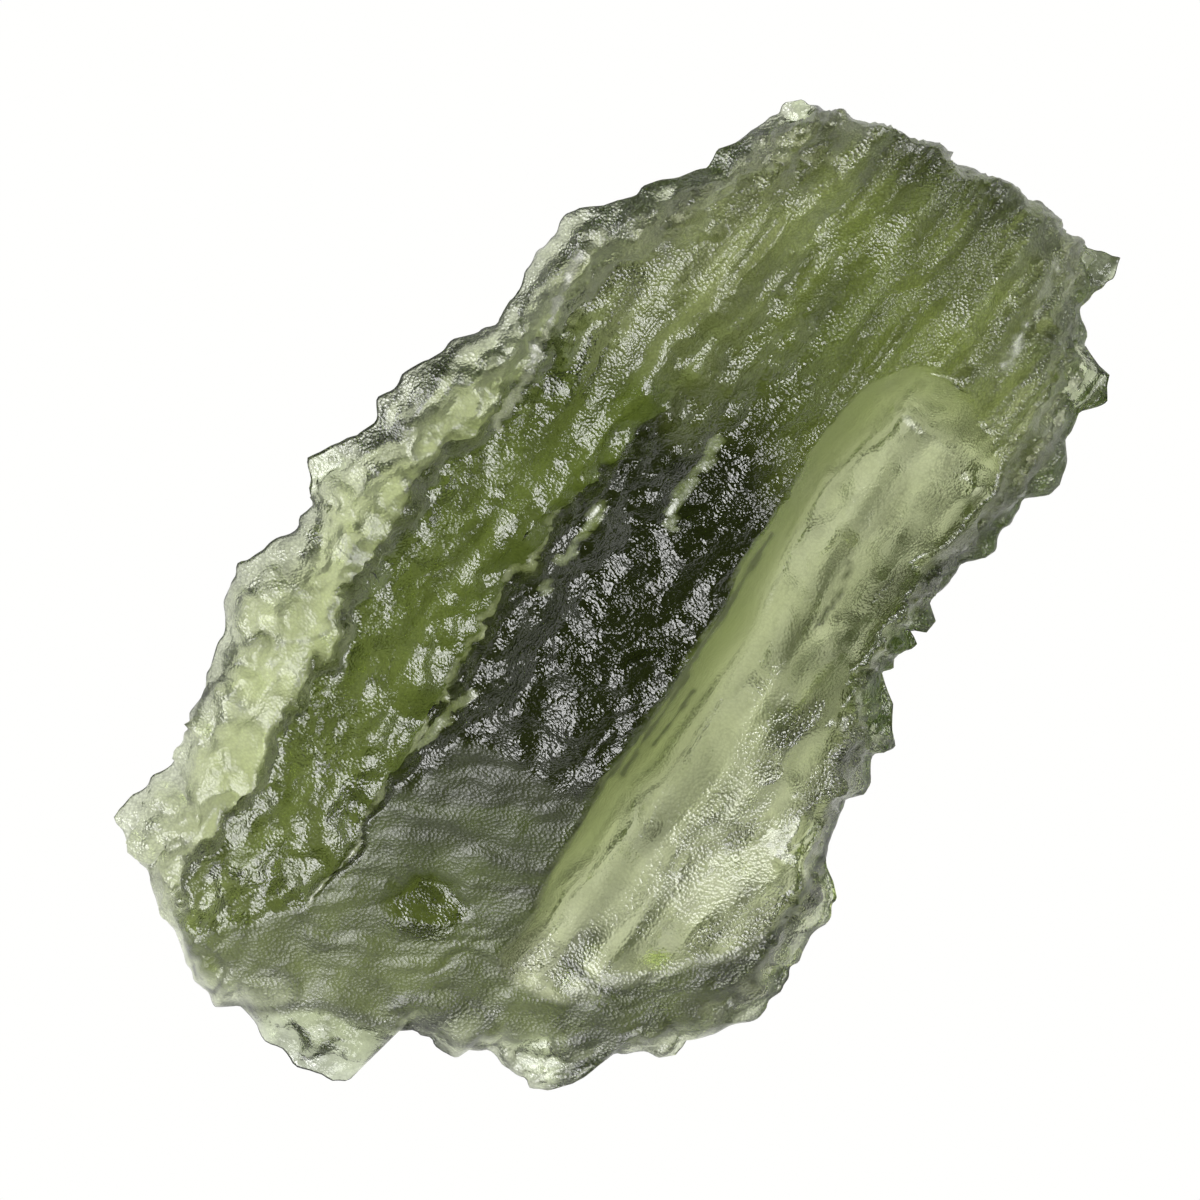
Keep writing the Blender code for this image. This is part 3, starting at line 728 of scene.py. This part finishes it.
def upper_side(x, y, edges):
    """The regions with their fine relief, falling to the rim, chipped where they are steep, and
    with the dent sunk to a level floor. With it come the shares of the regions and the marks."""
    height, part = regions(x, y)
    over = marks(x, y, edges, part["crest"])
    relief = fine_relief(x, y, part) * step(edges[0], 0, RELIEF_FROM_LEFT)
    relief = relief * step(np.minimum.reduce(edges[1:]), 0, RELIEF_FROM_OTHERS)
    above = end_flat(x, y) - end_flat(*from_photo([OVAL_PX])[0]) + OVAL_SINKS
    relief = relief - OVAL_LEVELS * over["oval"] * np.maximum(above, 0)
    fade = np.ones(np.shape(x))
    lumps = sum(swell(x, y, lump, 14 + k) for k, lump in enumerate(EDGE_LUMPS))
    lumps = np.maximum(1 + lumps - over["chip"], LEAST_LUMP)
    for distance, reach in zip(edges, EDGE_ROUND):
        fade = fade * rounded(distance * lumps, reach)
    edge = rim(x, y)
    body = edge + (height - edge) * fade
    inwards = step(np.minimum.reduce(edges), 0, CHIPS_FROM_RIM)
    loose = (1 - part["scar"]) * (1 - part["broken"]) * inwards
    x, y = chipped(x, y, body, loose)

    shares = {name: part[name] for name in ("shelf", "step", "valley", "ridge", "far", "top")}
    shares["end_flat"] = part["broken"] - part["flat_low"]
    shares["flat_low"] = part["flat_low"]
    shares["scar"] = part["scar"] - part["crumple"]
    shares["crumple"] = part["crumple"]
    for name, share in over.items():
        shares = {other: before * (1 - share) for other, before in shares.items()}
        shares[name] = share
    return x, y, body + relief, shares


def underside(x, y, edges):
    """The solid's belly, then scallops, creases and small cups, worn flat where it would pass the
    surface that it lies on."""
    bowl = BELLY_ALONG * (x - BELLY_CENTRE) ** 2 + BELLY_ACROSS * y**2 - BELLY_DEPTH
    belly = bowl + swell(x, y, BELLY_FURROWS, 31) + cups(x, y, BELLY_CUPS, 33)
    belly = belly + CUP_LEVEL * BELLY_CUPS[2]
    wavy_x, wavy_y = wavy(x, y, 53)
    relief = (
        cups(wavy_x, wavy_y, UNDER_SCALLOPS, 71)
        + creases(wavy_x, wavy_y, UNDER_CREASES, 72)
        + cups(wavy_x, wavy_y, UNDER_CUPS, 73)
    )
    fade = np.ones(np.shape(x))
    for distance in edges:
        fade = fade * rounded(distance, UNDER_ROUND)
    relief = relief * step(np.minimum.reduce(edges), 0, RELIEF_FROM_UNDER)
    edge = rim(x, y)
    return np.maximum(edge + (belly - edge) * fade + relief, 0)


def upper_skin(x, y, thickness, shares):
    """The skin's values on the upper side: each region's and mark's in its share, the rim's where
    the stone is thin, and a tint that is mottled, and netted by dark lines of painted shade."""
    thin = 1 - step(thickness, *THIN_RIM)
    kept = ("flap", "bevel", "chip", "ledge", "crack_and_edge_shade")
    thin = thin * (1 - sum(shares[name] for name in kept))
    shares = {name: share * (1 - thin) for name, share in shares.items()}
    shares["rim"] = thin
    skin = sum(share[..., None] * SKIN[name] for name, share in shares.items())
    # painted shade: dark lines along the borders of cells the size of the fine cups
    borders = step(cells(x, y, DARK_NET, 69), *NET_BORDERS)
    net_painted_shade = NET_DEPTH * borders * (1 - shares["ledge"] - shares["scar"])
    clear_bands = step(swell(x, y, BANDS, 86) + swell(x, y, BLOTCHES, 87), *MOTTLED_SHARE)
    skin[..., :3] *= 1 - skin[..., MOTTLED, None] * (1 - clear_bands[..., None])
    skin[..., :3] *= 1 - net_painted_shade[..., None]
    return skin


def under_skin(x, y):
    """The skin's values on the underside: clear, with dim streaks of painted shade below the scar's
    far side, netted by dark lines of painted shade."""
    streaks = swell(x, y, UNDER_STREAKS, 81) + swell(x, y, UNDER_PATCHES, 82)
    streaks = step(streaks + swell(x, y, UNDER_THREADS, 84), *STREAK_SHARE)
    lip, _ = run_of(TROUGH_LIP, x)
    # painted shade: dim streaks seen through the scar, darker towards its far side
    past_lip = step(lip - bent(x, y), *PAINTED_SHADE_PAST_LIP)
    streak_painted_shade = (1 - streaks) * (LEAST_PAINTED_SHADE + (1 - LEAST_PAINTED_SHADE) * past_lip)
    skin = UNDER_CLEAR + (np.array(UNDER_PAINTED_SHADE) - UNDER_CLEAR) * streak_painted_shade[..., None]
    # painted shade: a net of dark lines on the underside
    skin[..., :3] *= 1 - NET_DEPTH * step(cells(x, y, DARK_NET, 85), *UNDER_BORDERS)[..., None]
    return skin


def stone_mesh():
    """Both sides on one grid each, sewn along the rim: points, faces and the skin's values."""
    x, y, edges = net()
    from_rim = np.minimum.reduce(edges)
    inside = np.zeros(x.shape, bool)
    inside[1:-1, 1:-1] = True
    low = underside(x, y, edges)
    high_x, high_y, high, shares = upper_side(x, y, edges)
    high = np.maximum(high, low + LEAST_WALL * rounded(from_rim, 1))
    low = np.where(inside, low, high)
    grid = np.arange(x.size).reshape(x.shape)
    under = np.where(inside, grid + x.size, grid)
    sides = [(high_x, high_y, high), (x, y, low)]
    points = np.concatenate([np.stack(side, -1).reshape(-1, 3) for side in sides])
    faces = []
    for sheet, order in ((grid, (0, 1, 2, 3)), (under, (3, 2, 1, 0))):
        corners = (sheet[:-1, :-1], sheet[:-1, 1:], sheet[1:, 1:], sheet[1:, :-1])
        faces.append(np.stack([corners[k].ravel() for k in order], 1))
    used, faces = np.unique(np.concatenate(faces), return_inverse=True)
    skins = (upper_skin(x, y, high - low, shares), under_skin(x, y))
    skin = np.concatenate([side.reshape(-1, side.shape[-1]) for side in skins])
    return points[used] * MM, faces.reshape(-1, 4), skin[used]


def joined(tree, kind, **values):
    """A node of a material's tree. Each value is either a setting or what its input takes: a
    number, a colour, or another node's output."""
    node = tree.nodes.new(kind)
    for name, value in values.items():
        title = name.replace("_", " ")
        if title not in node.inputs:
            setattr(node, name, value)
        elif isinstance(value, bpy.types.NodeSocket):
            tree.links.new(value, node.inputs[title])
        else:
            node.inputs[title].default_value = value
    return node


def maths(tree, operation, *outputs):
    """The output of a maths node that takes other nodes' outputs."""
    node = tree.nodes.new("ShaderNodeMath")
    node.operation = operation
    for output, socket in zip(outputs, node.inputs):
        tree.links.new(output, socket)
    return node.outputs[0]


def bottle_green_glass():
    """Clear green glass that darkens with depth. Its skin is etched into pits of a tenth of a
    millimetre and crumpled into folds, which scatter the light, and the pits carry painted shade."""
    material = bpy.data.materials.new("bottle_green_glass")
    material.use_nodes = True
    tree = material.node_tree
    shader = tree.nodes["Principled BSDF"]
    shader.inputs["IOR"].default_value = GLASS_IOR
    shader.inputs["Transmission Weight"].default_value = 1
    shader.inputs["Coat IOR"].default_value = COAT_IOR
    shader.inputs["Coat Roughness"].default_value = COAT_ROUGHNESS
    depth = tree.nodes.new("ShaderNodeVolumeAbsorption")
    depth.inputs["Color"].default_value = GLASS_TINT
    depth.inputs["Density"].default_value = GLASS_DENSITY
    tree.links.new(depth.outputs["Volume"], tree.nodes["Material Output"].inputs["Volume"])

    place = tree.nodes.new("ShaderNodeTexCoord").outputs["Object"]
    # the tint, with its painted shade
    clear = joined(tree, "ShaderNodeAttribute", attribute_name="clear").outputs["Color"]
    maps = {
        name: joined(tree, "ShaderNodeAttribute", attribute_name=name).outputs["Fac"]
        for name in SKIN_MAPS
    }
    tree.links.new(maps["rough"], shader.inputs["Roughness"])
    tree.links.new(maps["coated"], shader.inputs["Coat Weight"])
    along = joined(tree, "ShaderNodeMapping", Vector=place, Scale=PITS_PER_M).outputs["Vector"]
    pits = joined(tree, "ShaderNodeTexVoronoi", Vector=along, Scale=1.0).outputs["Distance"]
    noise = joined(tree, "ShaderNodeTexNoise", Vector=place, Scale=FOLDS_PER_M, Detail=1.0)
    deep = maths(tree, "MULTIPLY", pits, maps["pitted"])
    height = maths(tree, "MULTIPLY_ADD", noise.outputs["Fac"], maps["folded"], deep)
    # painted shade: the tint is darkened in the deep pits
    pit_painted_shade = joined(tree, "ShaderNodeMapRange", Value=deep)
    for title, value in zip(("From Min", "From Max", "To Min", "To Max"), PIT_DEPTHS + PIT_PAINTED_SHADE):
        pit_painted_shade.inputs[title].default_value = value
    tinted = joined(tree, "ShaderNodeVectorMath", operation="SCALE")
    tree.links.new(clear, tinted.inputs[0])
    tree.links.new(pit_painted_shade.outputs[0], tinted.inputs["Scale"])
    tree.links.new(tinted.outputs[0], shader.inputs["Base Color"])
    bump = joined(tree, "ShaderNodeBump", Strength=1.0, Distance=GRAIN_HEIGHT, Height=height)
    tree.links.new(bump.outputs["Normal"], shader.inputs["Normal"])
    return material


points, faces, skin = stone_mesh()
stone_data = bpy.data.meshes.new("moldavite_stone")
stone_data.from_pydata(points.tolist(), [], faces.tolist())
# each point's tint, which holds the painted shade of the dark regions, the dark nets, the underside's
# streaks and the edge lines
clear = np.column_stack([skin[:, :3], np.ones(len(skin))]).astype(np.float32)
stone_data.attributes.new("clear", "FLOAT_COLOR", "POINT").data.foreach_set("color", clear.ravel())
for name, column in SKIN_MAPS.items():
    values = skin[:, column].astype(np.float32)
    stone_data.attributes.new(name, "FLOAT", "POINT").data.foreach_set("value", values)
stone_data.materials.append(bottle_green_glass())
stone_data.shade_smooth()
stone = bpy.data.objects.new("moldavite_stone", stone_data)
bpy.context.scene.collection.objects.link(stone)
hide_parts("moldavite")
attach(stone, "root")


# The table
# A sheet of white opal glass that the stone lies on. It is lit evenly from below, so that the
# stone throws no shadow and its green shows.
TABLE_HALF = 0.4
TABLE_GAP = 0.00002
TABLE_WHITE = (1, 1, 0.99, 1)
table_data = bpy.data.meshes.new("light_table")
corners = [(x * TABLE_HALF, y * TABLE_HALF, -TABLE_GAP) for x, y in ((-1, -1), (1, -1), (1, 1), (-1, 1))]
table_data.from_pydata(corners, [], [(0, 1, 2, 3)])
opal = bpy.data.materials.new("lit_opal_glass")
opal.use_nodes = True
opal.node_tree.nodes.remove(opal.node_tree.nodes["Principled BSDF"])
glow = joined(opal.node_tree, "ShaderNodeEmission", Color=TABLE_WHITE, Strength=1.0)
surface = opal.node_tree.nodes["Material Output"].inputs["Surface"]
opal.node_tree.links.new(glow.outputs[0], surface)
table_data.materials.append(opal)
table = bpy.data.objects.new("light_table", table_data)
bpy.context.scene.collection.objects.link(table)


# The lights and the camera
# Three soft boxes stand round the camera, which looks straight down on the stone as it did for
# the photograph. They silver the etched skin where it leans towards them.
SOFT_BOXES = {  # right, up and height of each, its width and height, and its brightness
    "lower_left_soft_box": (-0.12, -0.18, 0.20, (0.22, 0.22), 6),
    "left_soft_box": (-0.21, -0.04, 0.20, (0.26, 0.22), 12),
    "right_soft_box": (0.20, 0.08, 0.16, (0.16, 0.16), 8),
}
STUDIO_GREY = (0.05, 0.05, 0.05, 1)
LENS = 0.150
SENSOR = 0.036
NEAREST_SEEN = 0.01
PHOTO_SIDE_PX = 1200


def in_stone_axes(right, up, height):
    """A place given to the right and up in the photograph, in the stone's own axes."""
    cos, sin = math.cos(FURROW_BEARING), math.sin(FURROW_BEARING)
    return (right * cos + up * sin, up * cos - right * sin, height)


def soft_box(name, right, up, height, size, glow):
    """A soft box of a width, a height and a brightness, facing the stone."""
    light = bpy.data.lights.new(name, "AREA")
    light.shape = "RECTANGLE"
    light.size, light.size_y = size
    light.energy = glow * math.pi * size[0] * size[1]
    lamp = bpy.data.objects.new(name, light)
    lamp.location = in_stone_axes(right, up, height)
    lamp.rotation_euler = (-lamp.location).to_track_quat("-Z", "Y").to_euler()
    bpy.context.scene.collection.objects.link(lamp)


for name, values in SOFT_BOXES.items():
    soft_box(name, *values)

world = bpy.data.worlds.new("dim_studio")
world.use_nodes = True
world.node_tree.nodes["Background"].inputs["Color"].default_value = STUDIO_GREY
bpy.context.scene.world = world

photo_side = PHOTO_SIDE_PX / PX_PER_MM * MM
camera_data = bpy.data.cameras.new("camera")
camera_data.lens = LENS / MM
camera_data.sensor_width = SENSOR / MM
camera_data.clip_start = NEAREST_SEEN
camera = bpy.data.objects.new("camera", camera_data)
middle = from_photo([(PHOTO_SIDE_PX / 2, PHOTO_SIDE_PX / 2)])[0] * MM
camera.location = (*middle, RIM_HEIGHT * MM + photo_side * LENS / SENSOR)
camera.rotation_euler = (0, 0, -FURROW_BEARING)
bpy.context.scene.collection.objects.link(camera)
bpy.context.scene.camera = camera

scene = bpy.context.scene
scene.view_settings.view_transform = "Standard"
scene.cycles.max_bounces = 12
scene.cycles.transmission_bounces = 12
scene.cycles.glossy_bounces = 8
scene.cycles.use_denoising = True
